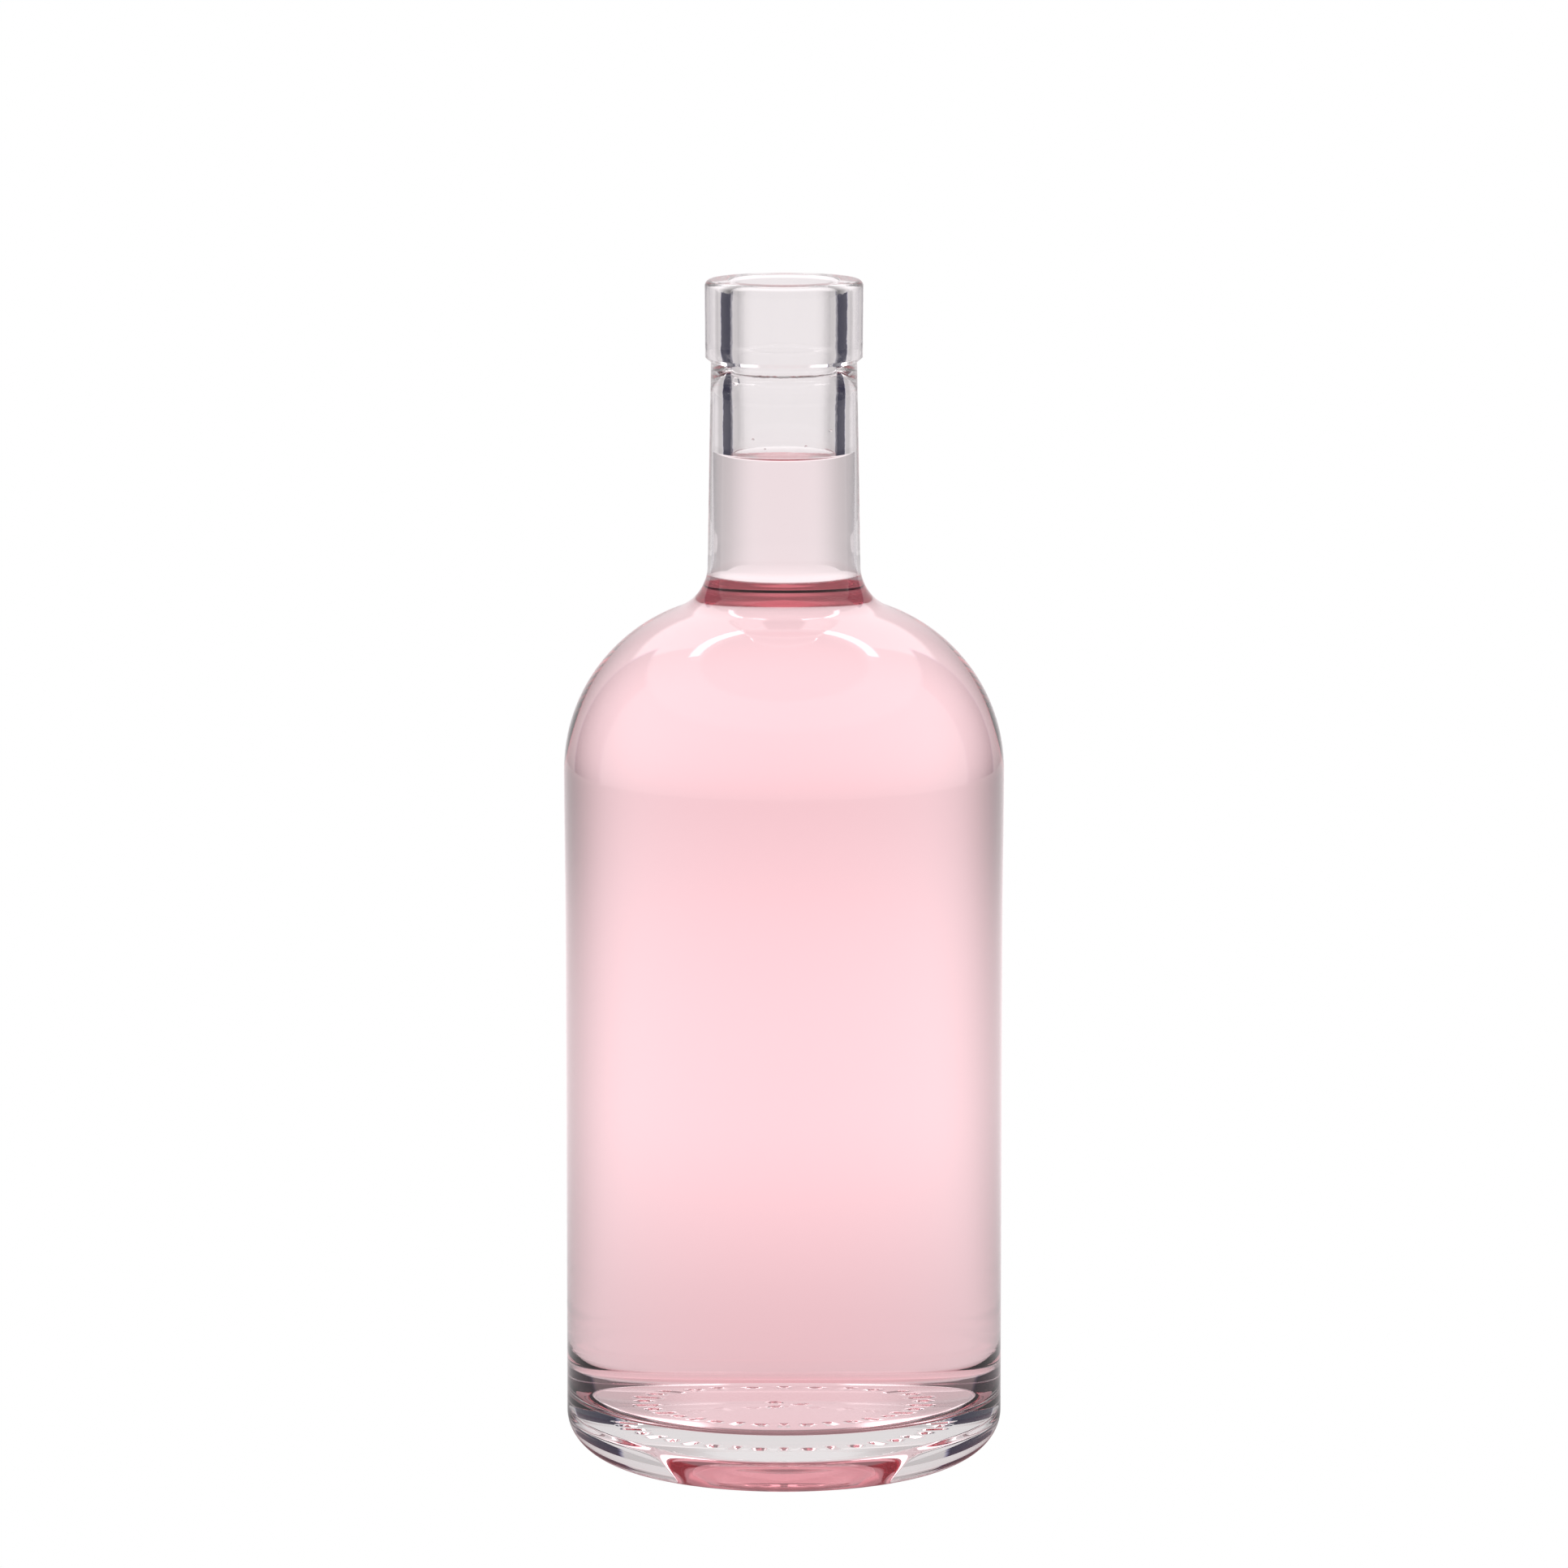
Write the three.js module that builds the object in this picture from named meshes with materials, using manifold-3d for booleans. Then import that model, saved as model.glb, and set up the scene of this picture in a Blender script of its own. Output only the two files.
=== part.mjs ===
// A round glass bottle with a cork mouth, filled with a pink drink.
// Millimetres, +Z up. The origin is the centre of the ring that the bottle stands on.
// The bottle is one blown piece of clear glass, and the drink is the only other piece.

import * as THREE from "three";
import { mergeVertices } from "three/addons/utils/BufferGeometryUtils.js";
import Module from "manifold-3d";

const wasm = await Module();
wasm.setup();

// Outside of the glass
const OVERALL_HEIGHT = 227.0;
const BODY_RADIUS = 41.7; // the straight lower body
const WIDEN_START_Z = 100; // the body starts to widen towards the shoulder here
const SHOULDER_RADIUS = 41.9; // the widest ring, where the shoulder starts
const SHOULDER_Z = 133.5;
const SHOULDER_ARC = 32.8; // radius of the dome's arc in section
const NECK_FILLET = 9.0; // hollow curve between the dome and the neck
const NECK_BASE_RADIUS = 14.5;
const NECK_TOP_RADIUS = 13.85; // just under the collar

// Standing ring, heel and the hollow under the base
const HEEL_WIDTH = 11.7; // the heel is a quarter ellipse
const HEEL_HEIGHT = 9.3;
const LAND_WIDTH = 1.4; // flat ring that the bottle stands on
const PUNT_DEPTH = 7.9; // height of the hollow's roof at its centre
const PUNT_RISE = 1.2; // the roof is a shallow dome, whose edge lies this much lower
const PUNT_TOP_RADIUS = 26.7; // the roof's edge

// Collar at the mouth
const COLLAR_HEIGHT = 14.7;
const COLLAR_TOP_RADIUS = 15.0;
const COLLAR_BASE_RADIUS = 14.9;
const COLLAR_CHAMFER = 0.9; // slope under the collar
const MOUTH_OUTER_EDGE = 1.2; // rounding of the mouth's two edges
const MOUTH_INNER_EDGE = 0.9;

// Inside of the glass
const WALL = 2.4; // body and shoulder
const BORE_TOP_RADIUS = 10.25;
const BORE_BASE_RADIUS = 9.95; // where the neck opens into the dome
const INNER_NECK_FILLET = 12.5;
const FLOOR_Z = 12.3; // height of the floor's edge
const FLOOR_RISE = 2.0; // the floor's centre stands this much higher
const INNER_HEEL = 3.5; // corner between the floor and the inner wall

// The drink
const FILL_DEPTH = 33.8; // its surface lies this far under the mouth
const FIT_GAP = 0.3; // between the drink and the glass

// Raised marks in a ring under the base, and three dots at the centre
const MARK_RING_RADIUS = 19.5;
const MARK_COUNT = 32;
const MARK_LENGTH = 3.0;
const MARK_WIDTH = 0.9;
const MARK_HEIGHT = 0.4; // how far a mark stands out of the hollow
const MARK_ROOT = 0.8; // how far it reaches into the glass
const CENTRE_DOT_COUNT = 3;
const CENTRE_DOT_RADIUS = 0.9;
const CENTRE_DOT_RING = 2.4;

// Facets
const AROUND = 60;
const DOT_SIDES = 10;

const degrees = THREE.MathUtils.degToRad;
const point = (radius, z) => new THREE.Vector2(radius, z);

// Points of an arc in section, both ends included. Angle 0 points away from the axis, 90 up.
function arc(centreRadius, centreZ, radiusAcross, radiusUp, from, to, steps) {
  return Array.from({ length: steps + 1 }, (_, i) => {
    const angle = degrees(from + ((to - from) * i) / steps);
    return point(centreRadius + radiusAcross * Math.cos(angle), centreZ + radiusUp * Math.sin(angle));
  });
}

// Height of a shallow dome above its rim, at a distance from the axis.
function domeHeight(radius, rimRadius, rise) {
  const sphere = (rimRadius ** 2 + rise ** 2) / (2 * rise);
  return Math.sqrt(sphere ** 2 - radius ** 2) - (sphere - rise);
}

// Points of such a dome from the axis to its rim, or to just before it.
function domePoints(rimRadius, baseZ, rise, steps) {
  return Array.from({ length: steps }, (_, i) => {
    const radius = (rimRadius * i) / steps;
    return point(radius, baseZ + domeHeight(radius, rimRadius, rise));
  });
}

const LAND_OUTER_RADIUS = BODY_RADIUS - HEEL_WIDTH;
const LAND_INNER_RADIUS = LAND_OUTER_RADIUS - LAND_WIDTH;
const PUNT_EDGE_Z = PUNT_DEPTH - PUNT_RISE;
const COLLAR_Z = OVERALL_HEIGHT - COLLAR_HEIGHT;
const SHOULDER_CENTRE_RADIUS = SHOULDER_RADIUS - SHOULDER_ARC;
const BORE_TOP_Z = OVERALL_HEIGHT - MOUTH_INNER_EDGE;
const FILL_Z = OVERALL_HEIGHT - FILL_DEPTH;

// The shoulder's arc and the hollow curve that joins it to the neck, going up. inset draws the same
// shape that far inside the glass: the arc shrinks and the hollow curve grows about the same centres.
function shoulderAndNeckFoot(arcRadius, neckRadius, fillet, inset, arcSteps, filletSteps) {
  const filletCentreRadius = neckRadius + fillet;
  const reach = filletCentreRadius - SHOULDER_CENTRE_RADIUS;
  const rise = Math.sqrt((arcRadius + fillet) ** 2 - reach ** 2);
  const filletZ = SHOULDER_Z + rise;
  const meet = THREE.MathUtils.radToDeg(Math.atan2(rise, reach));
  const dome = arcRadius - inset;
  const hollow = fillet + inset;
  return [
    ...arc(SHOULDER_CENTRE_RADIUS, SHOULDER_Z, dome, dome, 0, meet, arcSteps),
    ...arc(filletCentreRadius, filletZ, hollow, hollow, 180 + meet, 180, filletSteps).slice(1),
  ];
}

// The body widens along half a cosine wave from WIDEN_START_Z to SHOULDER_Z.
function widening(inset, steps) {
  return Array.from({ length: steps }, (_, i) => {
    const share = i / steps;
    const grown = (1 - Math.cos(Math.PI * share)) / 2;
    return point(
      BODY_RADIUS + (SHOULDER_RADIUS - BODY_RADIUS) * grown - inset,
      WIDEN_START_Z + (SHOULDER_Z - WIDEN_START_Z) * share,
    );
  });
}

// The side of the hollow under the base falls along half a cosine wave from the roof to the land.
function puntSide(steps) {
  return Array.from({ length: steps + 1 }, (_, i) => {
    const share = i / steps;
    const radius = PUNT_TOP_RADIUS + (LAND_INNER_RADIUS - PUNT_TOP_RADIUS) * share;
    return point(radius, (PUNT_EDGE_Z * (1 + Math.cos(Math.PI * share))) / 2);
  });
}

// From the middle of the underside, out and up the outside, to the flat top of the mouth.
function outsideSection() {
  const collarEdge = COLLAR_TOP_RADIUS - MOUTH_OUTER_EDGE;
  const collarTop = OVERALL_HEIGHT - MOUTH_OUTER_EDGE;
  return [
    ...domePoints(PUNT_TOP_RADIUS, PUNT_EDGE_Z, PUNT_RISE, 4),
    ...puntSide(5),
    ...arc(LAND_OUTER_RADIUS, HEEL_HEIGHT, HEEL_WIDTH, HEEL_HEIGHT, -90, 0, 7),
    ...widening(0, 3),
    ...shoulderAndNeckFoot(SHOULDER_ARC, NECK_BASE_RADIUS, NECK_FILLET, 0, 11, 6),
    point(NECK_TOP_RADIUS, COLLAR_Z - COLLAR_CHAMFER),
    point(COLLAR_BASE_RADIUS, COLLAR_Z),
    ...arc(collarEdge, collarTop, MOUTH_OUTER_EDGE, MOUTH_OUTER_EDGE, 0, 90, 3),
  ];
}

// The bore widens evenly from its foot to the rounded edge of the mouth.
function boreRadius(z, footZ) {
  const share = (z - footZ) / (BORE_TOP_Z - footZ);
  return BORE_BASE_RADIUS + (BORE_TOP_RADIUS - BORE_BASE_RADIUS) * share;
}

// The hollow from the middle of its floor to the foot of the bore. inset keeps clear of the glass.
function hollowSection(inset) {
  const inner = BODY_RADIUS - WALL - inset;
  const corner = INNER_HEEL - inset;
  const floorRadius = inner - corner;
  const floorZ = FLOOR_Z + inset;
  return [
    ...domePoints(floorRadius, floorZ, FLOOR_RISE, 3),
    ...arc(floorRadius, floorZ + corner, corner, corner, -90, 0, 4),
    ...widening(WALL + inset, 3),
    ...shoulderAndNeckFoot(SHOULDER_ARC - WALL, BORE_BASE_RADIUS, INNER_NECK_FILLET, inset, 9, 5),
  ];
}

// A section turned round the axis, with +Z up. Triangles with no area at the axis are left out.
function turned(section) {
  const lathe = new THREE.LatheGeometry(section, AROUND).rotateX(Math.PI / 2);
  lathe.deleteAttribute("normal");
  lathe.deleteAttribute("uv");
  const merged = mergeVertices(lathe, 1e-4);
  const corners = merged.index.array;
  const kept = [];
  for (let i = 0; i < corners.length; i += 3) {
    const [a, b, c] = [corners[i], corners[i + 1], corners[i + 2]];
    if (a !== b && b !== c && c !== a) kept.push(a, b, c);
  }
  merged.setIndex(kept);
  return merged;
}

function toSolid(geometry) {
  const plain = geometry.clone();
  plain.deleteAttribute("normal");
  plain.deleteAttribute("uv");
  const merged = mergeVertices(plain, 1e-4);
  return new wasm.Manifold(
    new wasm.Mesh({
      numProp: 3,
      vertProperties: new Float32Array(merged.attributes.position.array),
      triVerts: new Uint32Array(merged.index.array),
    }),
  );
}

function toGeometry(solid) {
  const mesh = solid.getMesh();
  const geometry = new THREE.BufferGeometry();
  geometry.setAttribute("position", new THREE.BufferAttribute(new Float32Array(mesh.vertProperties), 3));
  geometry.setIndex(new THREE.BufferAttribute(new Uint32Array(mesh.triVerts), 1));
  return geometry;
}

// A mark under the base: its lower face stands MARK_HEIGHT out of the hollow, and its root is in the glass.
function placedMark(geometry, ringRadius, angle) {
  const hollowZ = PUNT_EDGE_Z + domeHeight(ringRadius, PUNT_TOP_RADIUS, PUNT_RISE);
  const middleZ = hollowZ + (MARK_ROOT - MARK_HEIGHT) / 2;
  return toSolid(geometry.translate(ringRadius, 0, middleZ).rotateZ(angle));
}

// Bars and dots by turns round the ring, and dots at the centre.
function baseMarks() {
  const thickness = MARK_HEIGHT + MARK_ROOT;
  const dot = (radius) =>
    new THREE.CylinderGeometry(radius, radius, thickness, DOT_SIDES).rotateX(Math.PI / 2);
  const marks = [];
  for (let i = 0; i < MARK_COUNT; i += 1) {
    const shape = i % 2 ? dot(MARK_WIDTH) : new THREE.BoxGeometry(MARK_LENGTH, MARK_WIDTH, thickness);
    marks.push(placedMark(shape, MARK_RING_RADIUS, (2 * Math.PI * i) / MARK_COUNT));
  }
  for (let i = 0; i < CENTRE_DOT_COUNT; i += 1) {
    marks.push(placedMark(dot(CENTRE_DOT_RADIUS), CENTRE_DOT_RING, (2 * Math.PI * i) / CENTRE_DOT_COUNT));
  }
  return marks;
}

function glassBottle() {
  const edgeRadius = BORE_TOP_RADIUS + MOUTH_INNER_EDGE;
  const boreEdge = arc(edgeRadius, BORE_TOP_Z, MOUTH_INNER_EDGE, MOUTH_INNER_EDGE, 90, 180, 3);
  const section = [...outsideSection(), ...boreEdge, ...hollowSection(0).reverse()];
  const blown = toSolid(turned(section));
  return toGeometry(baseMarks().reduce((glass, mark) => glass.add(mark), blown));
}

function drink() {
  const hollow = hollowSection(FIT_GAP);
  const foot = hollow[hollow.length - 1];
  const top = point(boreRadius(FILL_Z, foot.y) - FIT_GAP, FILL_Z);
  return turned([...hollow, top, point(0, FILL_Z)]);
}

function part(name, geometry, material) {
  geometry.computeVertexNormals();
  const mesh = new THREE.Mesh(geometry, material);
  mesh.name = name;
  return mesh;
}

const flintGlass = new THREE.MeshStandardMaterial({
  color: 0xe9eceb, roughness: 0.03, metalness: 0, transparent: true, opacity: 0.35 });
const pinkDrink = new THREE.MeshStandardMaterial({
  color: 0xf6b9c4, roughness: 0.05, metalness: 0, transparent: true, opacity: 0.75 });

const bottle = new THREE.Group();
bottle.add(part("glass_bottle", glassBottle(), flintGlass));
bottle.add(part("drink", drink(), pinkDrink));

export default bottle;
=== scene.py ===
"""A round clear glass bottle with a cork mouth, filled with a pink drink to the middle of its neck.

The glass and the drink are smooth surfaces of revolution that replace the two faceted solids of the
frame. Lengths are in millimetres up to make_mesh, which turns them to metres.
"""
import math

import bpy
import numpy as np
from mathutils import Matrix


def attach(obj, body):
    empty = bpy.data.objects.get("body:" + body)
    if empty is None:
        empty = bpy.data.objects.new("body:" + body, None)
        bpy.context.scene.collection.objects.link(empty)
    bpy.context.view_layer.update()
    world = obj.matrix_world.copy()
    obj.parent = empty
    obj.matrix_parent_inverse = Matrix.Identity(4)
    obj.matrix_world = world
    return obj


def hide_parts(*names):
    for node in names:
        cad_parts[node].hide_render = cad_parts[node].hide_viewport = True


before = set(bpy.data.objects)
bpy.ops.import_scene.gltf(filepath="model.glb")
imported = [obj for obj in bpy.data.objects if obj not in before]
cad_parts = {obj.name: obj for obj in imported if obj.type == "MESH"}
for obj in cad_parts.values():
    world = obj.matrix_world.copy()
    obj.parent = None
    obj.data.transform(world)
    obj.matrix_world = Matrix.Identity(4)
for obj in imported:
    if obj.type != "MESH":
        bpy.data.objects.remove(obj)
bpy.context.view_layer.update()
scene = bpy.context.scene

MM = 0.001

# Outside of the glass
OVERALL_HEIGHT = 227.0
BODY_RADIUS = 41.7
WIDEN_START_Z = 100.0
SHOULDER_RADIUS = 41.9
SHOULDER_Z = 133.5
SHOULDER_ARC = 32.8
NECK_FILLET = 9.0
NECK_BASE_RADIUS = 14.5
NECK_TOP_RADIUS = 13.85

# Standing ring, heel and the hollow under the base
HEEL_WIDTH = 11.7
HEEL_HEIGHT = 9.3
LAND_WIDTH = 1.4
PUNT_DEPTH = 7.9
PUNT_RISE = 1.2
PUNT_TOP_RADIUS = 26.7

# Collar at the mouth
COLLAR_HEIGHT = 14.7
COLLAR_TOP_RADIUS = 15.0
COLLAR_BASE_RADIUS = 14.9
COLLAR_CHAMFER = 0.9
MOUTH_OUTER_EDGE = 1.2
MOUTH_INNER_EDGE = 0.9

# Inside of the glass
WALL = 2.4
BORE_TOP_RADIUS = 10.25
BORE_BASE_RADIUS = 9.95
INNER_NECK_FILLET = 12.5
FLOOR_Z = 12.3
FLOOR_RISE = 2.0
INNER_HEEL = 3.5

# The drink
FILL_DEPTH = 33.8
FILM = 0.02  # between the drink's skin and the glass, too thin to see
MENISCUS_HEIGHT = 1.0
MENISCUS_REACH = 1.4
# Drops left on the bore's wall: turn round it in degrees, height, half width, half height
DROPS = [
    (184.0, 209.3, 0.90, 1.15),
    (238.0, 197.6, 0.22, 0.22),
    (251.0, 195.9, 0.16, 0.16),
    (214.0, 203.5, 0.18, 0.18),
    (292.0, 196.4, 0.20, 0.20),
    (322.0, 199.0, 0.24, 0.24),
]
DROP_SIDES = 24

# Raised marks in a ring under the base, and dots at its centre
MARK_RING_RADIUS = 19.5
MARK_COUNT = 32
MARK_LENGTH = 3.0
MARK_WIDTH = 0.9
MARK_HEIGHT = 0.4
MARK_DRAFT = 0.35  # width of a mark's sloping side
CENTRE_DOT_COUNT = 3
CENTRE_DOT_RADIUS = 0.9
CENTRE_DOT_RING = 2.4

# Facets
GLASS_AROUND = 288
DRINK_AROUND = 256

# Refractive indices
GLASS_IOR = 1.52
DRINK_IOR = 1.34

# How far a path of light is followed through the glass and the drink
BOUNCES = 40
MIRROR_BOUNCES = 20

# The camera of the photograph
CAMERA_DISTANCE = 1627.0
CAMERA_PITCH = 8.6
CAMERA_AIM_Z = 130.6
CAMERA_LENS = 198.3
CAMERA_SENSOR = 36.0

LAND_OUTER_RADIUS = BODY_RADIUS - HEEL_WIDTH
LAND_INNER_RADIUS = LAND_OUTER_RADIUS - LAND_WIDTH
PUNT_EDGE_Z = PUNT_DEPTH - PUNT_RISE
COLLAR_Z = OVERALL_HEIGHT - COLLAR_HEIGHT
SHOULDER_CENTRE_RADIUS = SHOULDER_RADIUS - SHOULDER_ARC
BORE_TOP_Z = OVERALL_HEIGHT - MOUTH_INNER_EDGE
FILL_Z = OVERALL_HEIGHT - FILL_DEPTH
RIM_Z = FILL_Z + MENISCUS_HEIGHT


# Sections, as arrays of (radius, height) points


def line(start, end, step):
    """Evenly spaced points from start to end, both included."""
    start, end = np.array(start), np.array(end)
    count = max(1, math.ceil(np.linalg.norm(end - start) / step))
    return start + (end - start) * np.linspace(0, 1, count + 1)[:, None]


def arc(centre, across, up, first, last, step):
    """centre + (across * cos t, up * sin t), with t from first to last degrees and 90 pointing up."""
    length = math.radians(abs(last - first)) * max(across, up)
    turn = np.radians(np.linspace(first, last, max(2, math.ceil(length / step)) + 1))
    return np.array(centre) + np.stack([across * np.cos(turn), up * np.sin(turn)], axis=1)


def dome_height(radius, rim_radius, rise):
    """Height over its rim of the sphere that rises by rise inside rim_radius."""
    sphere = (rim_radius**2 + rise**2) / (2 * rise)
    return np.sqrt(sphere**2 - np.asarray(radius) ** 2) - (sphere - rise)


def dome(rim_radius, base_z, rise, step):
    """A shallow dome from the axis to its rim."""
    radius = np.linspace(0, rim_radius, math.ceil(rim_radius / step) + 1)
    return np.stack([radius, base_z + dome_height(radius, rim_radius, rise)], axis=1)


def widening(inset, step):
    """The body's radius grows by half a cosine wave from WIDEN_START_Z to SHOULDER_Z."""
    share = np.linspace(0, 1, math.ceil((SHOULDER_Z - WIDEN_START_Z) / step) + 1)
    grown = (1 - np.cos(np.pi * share)) / 2
    radius = BODY_RADIUS + (SHOULDER_RADIUS - BODY_RADIUS) * grown - inset
    return np.stack([radius, WIDEN_START_Z + (SHOULDER_Z - WIDEN_START_Z) * share], axis=1)


def shoulder_and_neck_foot(arc_radius, neck_radius, fillet, inset, step):
    """The dome's arc, then the hollow curve that touches it and the neck, both about fixed centres.

    inset draws the same shape that far inside the glass: the arc shrinks and the hollow curve grows.
    """
    fillet_centre_radius = neck_radius + fillet
    reach = fillet_centre_radius - SHOULDER_CENTRE_RADIUS
    rise = math.sqrt((arc_radius + fillet) ** 2 - reach**2)
    meet = math.degrees(math.atan2(rise, reach))
    dome_radius = arc_radius - inset
    hollow_radius = fillet + inset
    shoulder = arc((SHOULDER_CENTRE_RADIUS, SHOULDER_Z), dome_radius, dome_radius, 0, meet, step)
    foot = arc(
        (fillet_centre_radius, SHOULDER_Z + rise), hollow_radius, hollow_radius, 180 + meet, 180, step / 2
    )
    return [shoulder, foot]


def joined(stretches):
    """One section of several stretches, without the points that two neighbours share."""
    return np.concatenate([stretches[0]] + [stretch[1:] for stretch in stretches[1:]])


def punt_side():
    """The side of the hollow under the base falls by half a cosine wave from its roof to the land."""
    share = np.linspace(0, 1, 15)
    radius = PUNT_TOP_RADIUS + (LAND_INNER_RADIUS - PUNT_TOP_RADIUS) * share
    return np.stack([radius, PUNT_EDGE_Z * (1 + np.cos(np.pi * share)) / 2], axis=1)


def outside_section():
    """From the middle of the underside, out and up the outside, to the outer edge of the mouth's land."""
    return [
        dome(PUNT_TOP_RADIUS, PUNT_EDGE_Z, PUNT_RISE, 0.45),
        punt_side(),
        line((LAND_INNER_RADIUS, 0.0), (LAND_OUTER_RADIUS, 0.0), 0.6),
        arc((LAND_OUTER_RADIUS, HEEL_HEIGHT), HEEL_WIDTH, HEEL_HEIGHT, -90, 0, 0.6),
        line((BODY_RADIUS, HEEL_HEIGHT), (BODY_RADIUS, WIDEN_START_Z), 20.0),
        widening(0.0, 3.0),
        *shoulder_and_neck_foot(SHOULDER_ARC, NECK_BASE_RADIUS, NECK_FILLET, 0.0, 1.4),
        *collar_section(),
    ]


def collar_section():
    """The neck above its foot, the step under the collar and the collar's side."""
    foot_z = shoulder_and_neck_foot(SHOULDER_ARC, NECK_BASE_RADIUS, NECK_FILLET, 0.0, 1.4)[1][-1, 1]
    step_foot = (NECK_TOP_RADIUS, COLLAR_Z - COLLAR_CHAMFER)
    step_top = (COLLAR_BASE_RADIUS, COLLAR_Z)
    edge_z = OVERALL_HEIGHT - MOUTH_OUTER_EDGE
    edge_radius = COLLAR_TOP_RADIUS - MOUTH_OUTER_EDGE
    return [
        line((NECK_BASE_RADIUS, foot_z), step_foot, 8.0),
        line(step_foot, step_top, 0.2),
        line(step_top, (COLLAR_TOP_RADIUS, edge_z), 3.0),
        arc((edge_radius, edge_z), MOUTH_OUTER_EDGE, MOUTH_OUTER_EDGE, 0, 90, 0.2),
    ]


def hollow_section(inset, step=1.5):
    """The inside from the middle of the floor to the foot of the bore."""
    inner = BODY_RADIUS - WALL - inset
    corner = INNER_HEEL - inset
    floor_radius = inner - corner
    floor_z = FLOOR_Z + inset
    return [
        dome(floor_radius, floor_z, FLOOR_RISE, 2.5),
        arc((floor_radius, floor_z + corner), corner, corner, -90, 0, 0.4),
        line((inner, floor_z + corner), (inner, WIDEN_START_Z), 20.0),
        widening(WALL + inset, 3.0),
        *shoulder_and_neck_foot(SHOULDER_ARC - WALL, BORE_BASE_RADIUS, INNER_NECK_FILLET, inset, step),
    ]


def bore_radius(z, foot_z):
    """The bore widens evenly from its foot to the rounded edge of the mouth."""
    share = (z - foot_z) / (BORE_TOP_Z - foot_z)
    return BORE_BASE_RADIUS + (BORE_TOP_RADIUS - BORE_BASE_RADIUS) * share


def drink_surface(rim_radius):
    """The drink's top from the axis to the wall, where it climbs as exp(-gap / MENISCUS_REACH)."""
    curved = 5 * MENISCUS_REACH
    flat = np.linspace(rim_radius, curved, 4)
    climbing = np.linspace(0.98 * curved, 0, 24)
    gap = np.concatenate([flat, climbing])
    return np.stack([rim_radius - gap, FILL_Z + MENISCUS_HEIGHT * np.exp(-gap / MENISCUS_REACH)], axis=1)


# Meshes


def smooth_rise(distance, half_width):
    """1 inside half_width, falling to 0 over MARK_DRAFT beyond it along a cosine."""
    share = np.clip((distance - half_width) / MARK_DRAFT, 0, 1)
    return (1 + np.cos(np.pi * share)) / 2


def mark_relief(radius, angle):
    """How far the raised bars and dots stand out of the underside at a place on it."""
    pitch = 2 * np.pi / MARK_COUNT
    index = np.round(angle / pitch)
    along = radius - MARK_RING_RADIUS
    across = (angle - index * pitch) * radius
    bar = smooth_rise(np.abs(across), MARK_WIDTH / 2) * smooth_rise(np.abs(along), MARK_LENGTH / 2)
    dot = smooth_rise(np.hypot(along, across), MARK_WIDTH)
    ring = np.where(index % 2 == 0, bar, dot)
    spots = [
        smooth_rise(
            np.hypot(
                radius * np.cos(angle) - CENTRE_DOT_RING * math.cos(turn),
                radius * np.sin(angle) - CENTRE_DOT_RING * math.sin(turn),
            ),
            CENTRE_DOT_RADIUS,
        )
        for turn in np.arange(CENTRE_DOT_COUNT) * 2 * np.pi / CENTRE_DOT_COUNT
    ]
    return MARK_HEIGHT * np.maximum(ring, np.max(spots, axis=0))


def revolve(section, around):
    """Points (r cos a, r sin a, z) and faces of a section turned round Z.

    A point on the axis becomes one vertex. The section runs so that the solid lies on its left.
    """
    angle = np.arange(around) * 2 * np.pi / around
    on_axis = section[:, 0] < 1e-6
    starts = np.cumsum(np.where(on_axis, 1, around)) - np.where(on_axis, 1, around)
    points, polygons = [], []
    step = np.arange(around)
    following = (step + 1) % around
    for (radius, z), single in zip(section, on_axis):
        if single:
            points.append([[0.0, 0.0, z]])
        else:
            ring = [radius * np.cos(angle), radius * np.sin(angle), np.full(around, z)]
            points.append(np.stack(ring, axis=1))
    for i in range(len(section) - 1):
        low, high = starts[i], starts[i + 1]
        if on_axis[i] and on_axis[i + 1]:
            continue
        if on_axis[i]:
            ring = np.stack([np.full(around, low), high + following, high + step], axis=1)
        elif on_axis[i + 1]:
            ring = np.stack([low + step, low + following, np.full(around, high)], axis=1)
        else:
            ring = np.stack([low + step, low + following, high + following, high + step], axis=1)
        polygons.append((i, ring))
    return np.concatenate(points), polygons


def make_mesh(name, points, polygons, ring_values):
    """A mesh object in metres, with one value of the attribute ior for each ring of faces."""
    mesh = bpy.data.meshes.new(name)
    faces = [face for _, ring in polygons for face in ring.tolist()]
    mesh.from_pydata((points * MM).tolist(), [], faces)
    ior = np.concatenate([np.full(len(ring), ring_values[i]) for i, ring in polygons])
    mesh.attributes.new("ior", "FLOAT", "FACE").data.foreach_set("value", ior.astype(np.float32))
    mesh.shade_smooth()
    piece = bpy.data.objects.new(name, mesh)
    scene.collection.objects.link(piece)
    return piece


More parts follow.
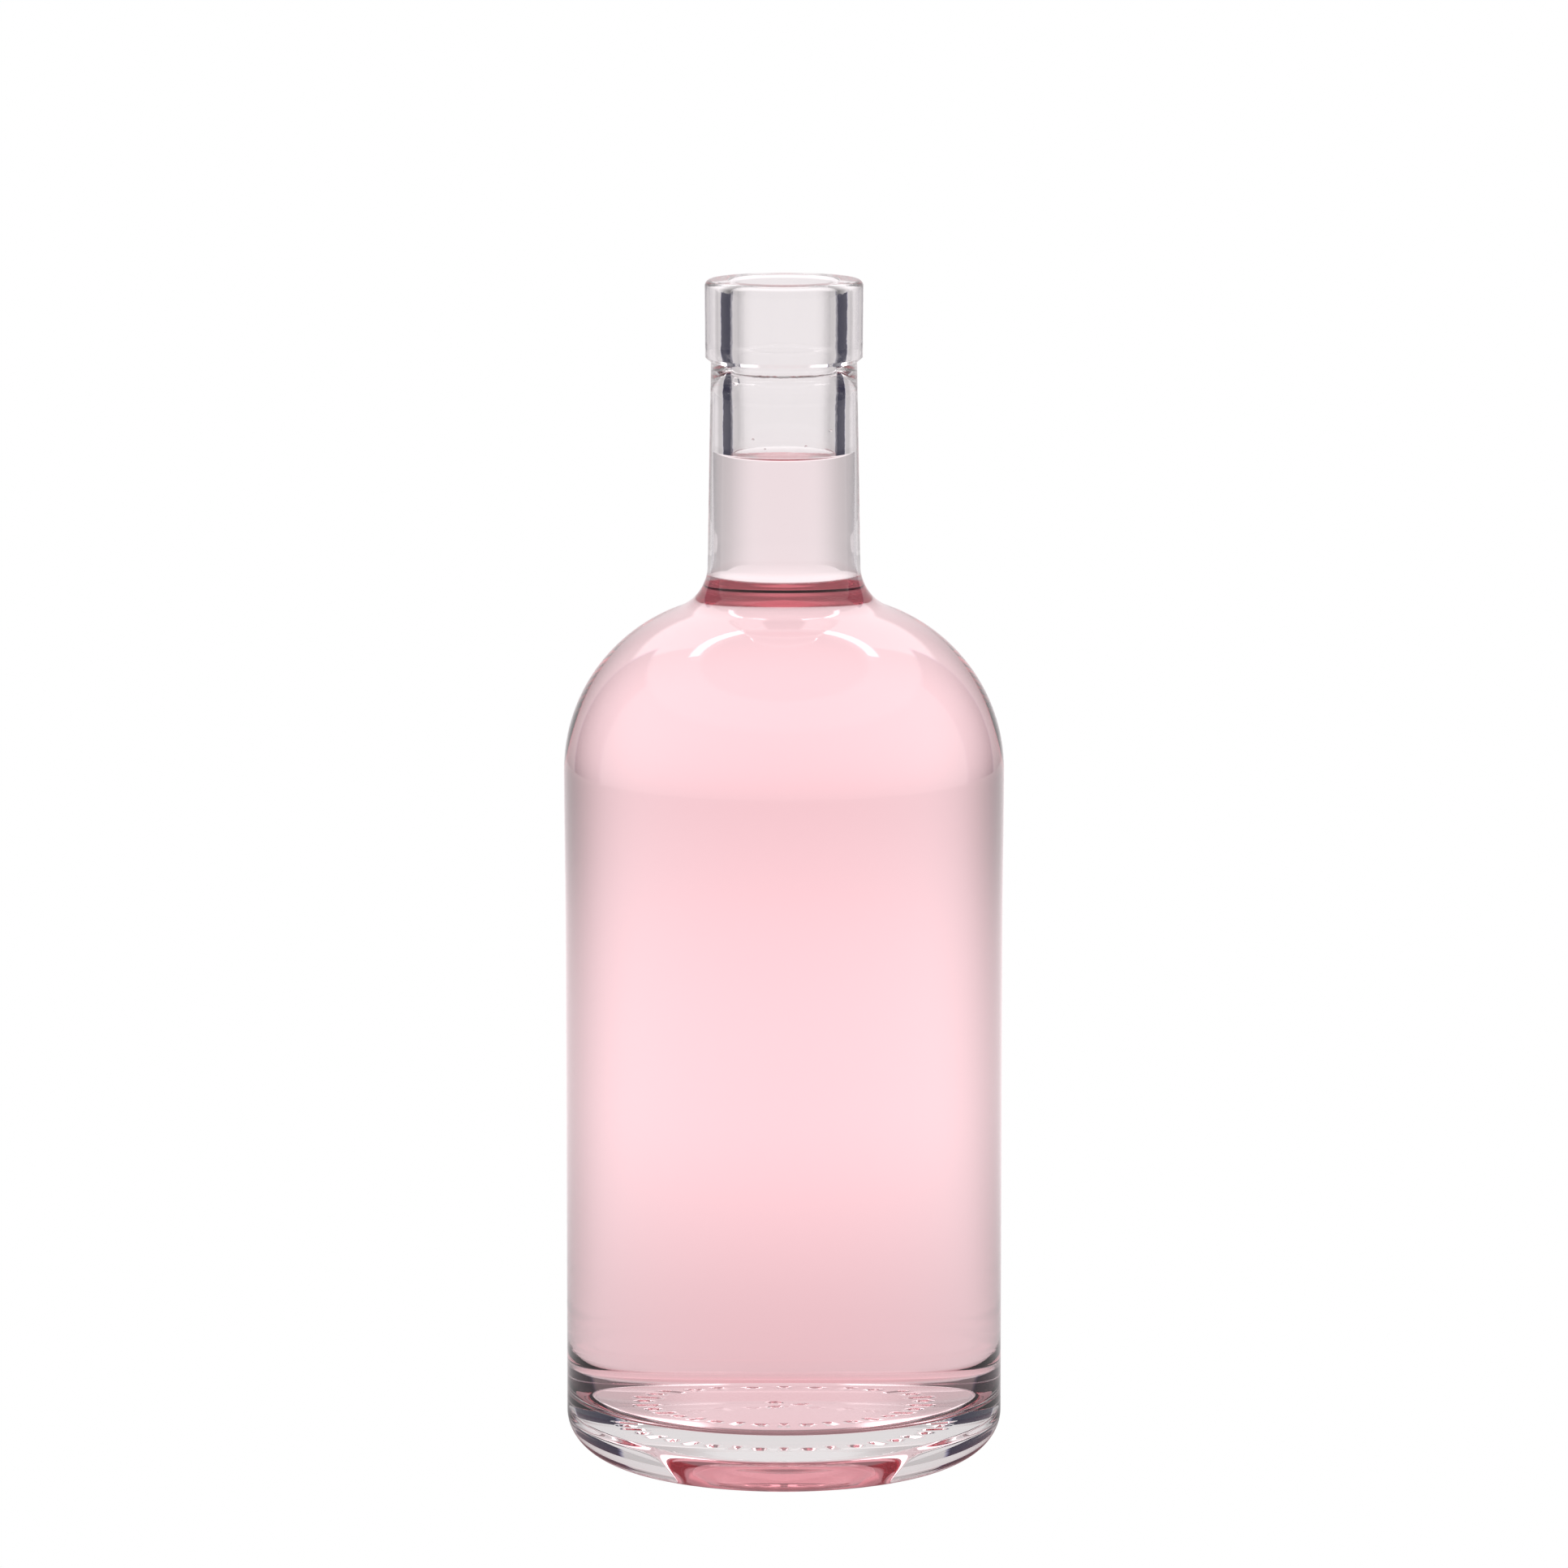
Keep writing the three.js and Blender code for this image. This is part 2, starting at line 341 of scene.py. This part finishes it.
def glass_bottle():
    """The blown glass: the outside from the underside up, the mouth, then the inside down to the floor."""
    hollow = joined(hollow_section(0.0))
    foot = tuple(hollow[-1])
    outside = joined(outside_section())
    edge_radius = BORE_TOP_RADIUS + MOUTH_INNER_EDGE
    land_start = (COLLAR_TOP_RADIUS - MOUTH_OUTER_EDGE, OVERALL_HEIGHT)
    wet_line = (bore_radius(RIM_Z, foot[1]), RIM_Z)
    mouth = joined(
        [
            line(land_start, (edge_radius, OVERALL_HEIGHT), 0.7),
            arc((edge_radius, BORE_TOP_Z), MOUTH_INNER_EDGE, MOUTH_INNER_EDGE, 90, 180, 0.2),
            line((BORE_TOP_RADIUS, BORE_TOP_Z), wet_line, 4.0),
        ]
    )
    wet = joined([line(wet_line, foot, 4.0), hollow[::-1]])
    section = np.concatenate([outside, mouth[1:], wet[1:]])
    points, polygons = revolve(section, GLASS_AROUND)
    radius = np.hypot(points[:, 0], points[:, 1])
    under = (radius < PUNT_TOP_RADIUS) & (points[:, 2] < PUNT_DEPTH + 0.1)
    angle = np.arctan2(points[under, 1], points[under, 0])
    points[under, 2] -= mark_relief(radius[under], angle)
    dry_rings = len(outside) + len(mouth) - 2
    ring_values = np.where(np.arange(len(section) - 1) < dry_rings, GLASS_IOR, GLASS_IOR / DRINK_IOR)
    return make_mesh("blown_glass", points, polygons, ring_values)


def drink():
    """The drink: its side a film inside the glass, its top with the meniscus, and the drops above it."""
    hollow = joined(hollow_section(FILM))
    foot_z = hollow[-1, 1]
    rim_radius = bore_radius(RIM_Z, foot_z) - FILM
    side = joined([hollow, line(tuple(hollow[-1]), (rim_radius, RIM_Z), 4.0)])
    top = drink_surface(rim_radius)[::-1]
    section = np.concatenate([side, top[1:]])
    points, polygons = revolve(section, DRINK_AROUND)
    ring_values = np.where(np.arange(len(section) - 1) < len(side) - 1, 1.0, DRINK_IOR)
    ring_values = np.append(ring_values, DRINK_IOR)  # for the drops
    for turn, height, half_width, half_height in DROPS:
        egg = arc((0.0, height), half_width, half_height, -90, 90, half_width / 6)
        drop_points, drop_polygons = revolve(egg, DROP_SIDES)
        out = bore_radius(height, foot_z) - FILM - half_width
        drop_points[:, 0] += out * math.cos(math.radians(turn))
        drop_points[:, 1] += out * math.sin(math.radians(turn))
        polygons += [(len(ring_values) - 1, ring + len(points)) for _, ring in drop_polygons]
        points = np.concatenate([points, drop_points])
    return make_mesh("pink_drink", points, polygons, ring_values)


# Materials


def linear(hex_colour):
    """Linear RGBA of an sRGB hex colour."""
    channels = [int(hex_colour[i : i + 2], 16) / 255 for i in (1, 3, 5)]
    return [c / 12.92 if c <= 0.04045 else ((c + 0.055) / 1.055) ** 2.4 for c in channels] + [1.0]


def add(tree, kind, settings=None, **inputs):
    """A node of a kind with its settings, and its inputs set to values or linked to sockets."""
    node = tree.nodes.new("ShaderNode" + kind)
    for name, value in (settings or {}).items():
        setattr(node, name, value)
    for name, value in inputs.items():
        socket = node.inputs[int(name[1:])] if name[0] == "_" else node.inputs[name.replace("_", " ")]
        if isinstance(value, bpy.types.NodeSocket):
            tree.links.new(value, socket)
        else:
            socket.default_value = value
    return node


SMOOTH = {"interpolation_type": "SMOOTHSTEP"}
MULTIPLY = {"operation": "MULTIPLY"}
MAXIMUM = {"operation": "MAXIMUM"}
TO_DEGREES = 180 / math.pi


def new_material(name):
    """An empty material and its node tree."""
    material = bpy.data.materials.new(name)
    material.use_nodes = True
    material.node_tree.nodes.clear()
    return material, material.node_tree


# The waves of the bore, in millimetres, and the widths over which they fade at the mouth and the drink
BORE_WAVE_SIZE = 1.6
BORE_WAVE_DEPTH = 0.015
BORE_WAVE_EDGE = 0.5
BORE_WAVE_FOOT = 1.0
GLASS_DEPTH_COLOUR = "#E4EAE6"
GLASS_DEPTH_DENSITY = 4.0

# The drink's colour in depth, linear: red passes, green and blue are taken out
DRINK_DEPTH_COLOUR = (0.975, 0.17, 0.277, 1.0)
DRINK_DEPTH_DENSITY = 6.0


def blown_flint_glass():
    """Soda-lime flint glass, blown in a mould: clear, with a trace of grey green in its depth.

    The bore is a little wavy above the drink, so that its dark edges in the neck aren't quite straight.
    """
    material, tree = new_material("blown_flint_glass")
    place = add(tree, "TexCoord").outputs["Object"]
    flat = add(tree, "VectorMath", MULTIPLY, _0=place, _1=(1.0, 1.0, 0.0))
    radius = add(tree, "VectorMath", {"operation": "LENGTH"}, _0=flat.outputs[0]).outputs["Value"]
    height = add(tree, "SeparateXYZ", _0=place).outputs[2]
    edge = BORE_TOP_RADIUS * MM
    inside = add(tree, "MapRange", _0=radius, _1=edge, _2=edge + BORE_WAVE_EDGE * MM, _3=1.0, _4=0.0)
    above = add(tree, "MapRange", _0=height, _1=FILL_Z * MM, _2=(FILL_Z + BORE_WAVE_FOOT) * MM)
    share = add(tree, "Math", MULTIPLY, _0=inside.outputs[0], _1=above.outputs[0])
    waves = add(tree, "TexNoise", Vector=place, Scale=1 / (BORE_WAVE_SIZE * MM), Detail=2.0)
    bump = add(
        tree, "Bump", Strength=share.outputs[0], Distance=BORE_WAVE_DEPTH * MM, Height=waves.outputs[0]
    )
    ior = add(tree, "Attribute", {"attribute_name": "ior"}).outputs["Fac"]
    glass = add(
        tree,
        "BsdfPrincipled",
        Base_Color=linear("#FFFFFF"),
        Roughness=0.0,
        IOR=ior,
        Transmission_Weight=1.0,
        Normal=bump.outputs[0],
    )
    depth = add(tree, "VolumeAbsorption", Color=linear(GLASS_DEPTH_COLOUR), Density=GLASS_DEPTH_DENSITY)
    add(tree, "OutputMaterial", Surface=glass.outputs[0], Volume=depth.outputs[0])
    return material


def pink_spirit():
    """A clear spirit coloured pink: it takes out green and blue evenly over its depth."""
    material, tree = new_material("pink_spirit")
    ior = add(tree, "Attribute", {"attribute_name": "ior"}).outputs["Fac"]
    liquid = add(
        tree,
        "BsdfPrincipled",
        Base_Color=linear("#FFFFFF"),
        Roughness=0.0,
        IOR=ior,
        Transmission_Weight=1.0,
    )
    depth = add(tree, "VolumeAbsorption", Color=DRINK_DEPTH_COLOUR, Density=DRINK_DEPTH_DENSITY)
    add(tree, "OutputMaterial", Surface=liquid.outputs[0], Volume=depth.outputs[0])
    return material


# The studio

# What the glass shows is a room painted by direction: turn is the angle to either side of straight behind
# the bottle and lift the angle over the horizon, in degrees. Level 1 is the white of the background.
# Each band begins at a lift, with a soft edge, and its level falls from straight behind to the side.
ROOM_TINT = "#FFF8FA"
GAP_TINT = "#B4B4FF"
BANDS = [
    # lift, softness, level behind, level at the side, turns between which it falls
    (-90.0, 1.0, 0.91, 0.62, 9.0, 24.0),  # the backdrop
    (38.0, 2.0, 0.90, 0.90, 9.0, 24.0),  # the pale ceiling
    (59.5, 1.5, 0.30, 0.30, 9.0, 24.0),  # the dark above the lamps
]
# Each patch: turn from, to, softness, lift from, to, softness, level
PATCHES = [
    (11.0, 44.0, 2.0, 27.0, 54.0, 2.0, 1.9),  # the lamps' soft cloths
    (69.0, 200.0, 3.0, -12.0, 37.0, 1.0, 0.55),  # the side and front walls
    (-5.0, 12.0, 2.0, 37.0, 59.0, 2.0, 0.30),  # the gap between the lamps
    (14.0, 56.0, 0.8, 54.0, 58.0, 0.8, 6.0),  # the lamps' bright edge
    (38.0, 68.0, 1.5, -12.0, 37.0, 1.0, 0.05),  # the dark gap beside the backdrop, in a tint of its own
]


def inside_patch(tree, turn, lift, turns, lifts):
    """1 inside a box of directions and 0 outside it: the product of its four soft edges."""
    share = 1.0
    for angle, (start, end, soft) in ((turn, turns), (lift, lifts)):
        for edge, before, after in ((start, 0.0, 1.0), (end, 1.0, 0.0)):
            rise = add(
                tree, "MapRange", SMOOTH, _0=angle, _1=edge - soft, _2=edge + soft, _3=before, _4=after
            )
            share = add(tree, "Math", MULTIPLY, _0=rise.outputs[0], _1=share).outputs[0]
    return share


def studio_world():
    """White to the camera and to the table, and the painted room to the glass."""
    world = bpy.data.worlds.new("studio")
    world.use_nodes = True
    scene.world = world
    tree = world.node_tree
    tree.nodes.clear()
    direction = add(tree, "TexCoord").outputs["Generated"]
    across, away, up = add(tree, "SeparateXYZ", _0=direction).outputs
    sideways = add(tree, "Math", {"operation": "ABSOLUTE"}, _0=across)
    turned = add(tree, "Math", {"operation": "ARCTAN2"}, _0=sideways.outputs[0], _1=away)
    turn = add(tree, "Math", MULTIPLY, _0=turned.outputs[0], _1=TO_DEGREES).outputs[0]
    lifted = add(tree, "Math", {"operation": "ARCSINE"}, _0=up)
    lift = add(tree, "Math", MULTIPLY, _0=lifted.outputs[0], _1=TO_DEGREES).outputs[0]

    room = 0.0
    for start, soft, behind, side, near, far in BANDS:
        above = add(tree, "MapRange", SMOOTH, _0=lift, _1=start - soft, _2=start + soft)
        level = add(tree, "MapRange", SMOOTH, _0=turn, _1=near, _2=far, _3=behind, _4=side)
        room = add(
            tree, "Mix", {"data_type": "FLOAT"}, _0=above.outputs[0], _2=room, _3=level.outputs[0]
        ).outputs[0]
    for patch in PATCHES:
        share = inside_patch(tree, turn, lift, patch[0:3], patch[3:6])
        room = add(tree, "Mix", {"data_type": "FLOAT"}, _0=share, _2=room, _3=patch[6]).outputs[0]
    tints = {"_6": linear(ROOM_TINT), "_7": linear(GAP_TINT)}
    tint = add(tree, "Mix", {"data_type": "RGBA"}, _0=share, **tints)

    white = add(tree, "Background", Color=linear("#FFFFFF"), Strength=1.0)
    painted = add(tree, "Background", Color=tint.outputs[2], Strength=room)
    path = add(tree, "LightPath").outputs
    bent = add(tree, "Math", MAXIMUM, _0=path["Is Glossy Ray"], _1=path["Is Transmission Ray"])
    seen = add(tree, "MixShader", _0=bent.outputs[0], _1=white.outputs[0], _2=painted.outputs[0])
    add(tree, "OutputWorld", Surface=seen.outputs[0])


# The table as the glass shows it, with light and shade painted on it by place. Its level rises away from
# the bottle's foot, out of a painted shadow of the bottle into a painted pool of light, falls again
# further out, and falls to the sides, more so far away, as painted shade. Distances are in metres from the
# bottle's axis.
TABLE_RADIUS = 1.13
TABLE_SIDES = 96
# Each step: distance from, to, factor at the first, at the second
# painted shadow of the bottle on the table under and round its foot
PAINTED_SHADOW_UNDER_BOTTLE = (0.030, 0.055, 0.70, 0.84)
# painted pool of light: the bottle's painted shadow lifts into it away from the foot
PAINTED_LIGHT_RISE = (0.055, 0.38, 1.0, 1.39)
# the painted pool of light fades further out
PAINTED_LIGHT_FALL = (0.42, 1.25, 1.0, 0.77)
# painted shade to the sides, deeper further out
PAINTED_SIDE_SHADE = (0.35, 0.95, -0.57, -0.83)
PAINTED_SIDE_SHADE_TURNS = (18.0, 68.0)
# A painted pink light, standing for the light that has come through the drink, tints the table within the
# first of these distances
PAINTED_DRINK_LIGHT = (0.040, 0.054)
PAINTED_DRINK_LIGHT_TINT = "#FFC2CA"


def table():
    """A round white table top: plain white to the camera, and to the glass painted by place with light and
    shade: a painted shadow of the bottle, a painted pool of light and a painted pink light from the drink.
    """
    mesh = bpy.data.meshes.new("table")
    angle = np.linspace(0, 2 * np.pi, TABLE_SIDES, endpoint=False)
    rim = np.stack([np.cos(angle), np.sin(angle), np.zeros(TABLE_SIDES)], axis=1) * TABLE_RADIUS
    mesh.from_pydata(rim.tolist(), [], [list(range(TABLE_SIDES))])
    top = bpy.data.objects.new("table", mesh)
    scene.collection.objects.link(top)
    material, tree = new_material("white_table_painted_light")
    place = add(tree, "TexCoord").outputs["Object"]
    across, away, _ = add(tree, "SeparateXYZ", _0=place).outputs
    distance = add(tree, "VectorMath", {"operation": "LENGTH"}, _0=place).outputs["Value"]
    sideways = add(tree, "Math", {"operation": "ABSOLUTE"}, _0=across)
    turned = add(tree, "Math", {"operation": "ARCTAN2"}, _0=sideways.outputs[0], _1=away)
    turn = add(tree, "Math", MULTIPLY, _0=turned.outputs[0], _1=TO_DEGREES).outputs[0]

    # painted shadow round the bottle's foot and painted pool of light, by distance
    level = 1.0
    for start, end, before, after in (PAINTED_SHADOW_UNDER_BOTTLE, PAINTED_LIGHT_RISE, PAINTED_LIGHT_FALL):
        step = add(tree, "MapRange", SMOOTH, _0=distance, _1=start, _2=end, _3=before, _4=after)
        level = add(tree, "Math", MULTIPLY, _0=step.outputs[0], _1=level).outputs[0]
    # painted shade to the sides of the table
    start, end, before, after = PAINTED_SIDE_SHADE
    fall = add(tree, "MapRange", SMOOTH, _0=distance, _1=start, _2=end, _3=before, _4=after)
    side = add(tree, "MapRange", SMOOTH, _0=turn, _1=PAINTED_SIDE_SHADE_TURNS[0], _2=PAINTED_SIDE_SHADE_TURNS[1])
    share = add(tree, "Math", MULTIPLY, _0=fall.outputs[0], _1=side.outputs[0])
    share = add(tree, "Math", {"operation": "ADD"}, _0=share.outputs[0], _1=1.0)
    level = add(tree, "Math", MULTIPLY, _0=share.outputs[0], _1=level)
    # painted pink light from the drink on the table close to the bottle's foot
    plain = add(tree, "MapRange", SMOOTH, _0=distance, _1=PAINTED_DRINK_LIGHT[0], _2=PAINTED_DRINK_LIGHT[1])
    tints = {"_6": linear(PAINTED_DRINK_LIGHT_TINT), "_7": linear(ROOM_TINT)}
    tint = add(tree, "Mix", {"data_type": "RGBA"}, _0=plain.outputs[0], **tints)

    white = add(tree, "Emission", Color=linear("#FFFFFF"), Strength=1.0)
    # to the glass the table shows its painted shadow, painted pool of light and painted pink light
    painted = add(tree, "Emission", Color=tint.outputs[2], Strength=level.outputs[0])
    path = add(tree, "LightPath").outputs
    bent = add(tree, "Math", MAXIMUM, _0=path["Is Glossy Ray"], _1=path["Is Transmission Ray"])
    seen = add(tree, "MixShader", _0=bent.outputs[0], _1=white.outputs[0], _2=painted.outputs[0])
    add(tree, "OutputMaterial", Surface=seen.outputs[0])
    mesh.materials.append(material)


def camera():
    """The photograph's view, from 1.6 m away and above the mouth, looking a little down."""
    data = bpy.data.cameras.new("camera")
    data.lens = CAMERA_LENS
    data.sensor_width = CAMERA_SENSOR
    eye = bpy.data.objects.new("camera", data)
    pitch = math.radians(CAMERA_PITCH)
    height = CAMERA_AIM_Z + CAMERA_DISTANCE * math.tan(pitch)
    eye.location = (0.0, -CAMERA_DISTANCE * MM, height * MM)
    eye.rotation_euler = (math.pi / 2 - pitch, 0.0, 0.0)
    scene.collection.objects.link(eye)
    scene.camera = eye


camera()
studio_world()
table()
scene.view_settings.view_transform = "Standard"
scene.cycles.max_bounces = BOUNCES
scene.cycles.transmission_bounces = BOUNCES
scene.cycles.glossy_bounces = MIRROR_BOUNCES

glass = glass_bottle()
glass.data.materials.append(blown_flint_glass())
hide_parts("glass_bottle")
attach(glass, "root")

filling = drink()
filling.data.materials.append(pink_spirit())
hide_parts("drink")
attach(filling, "root")
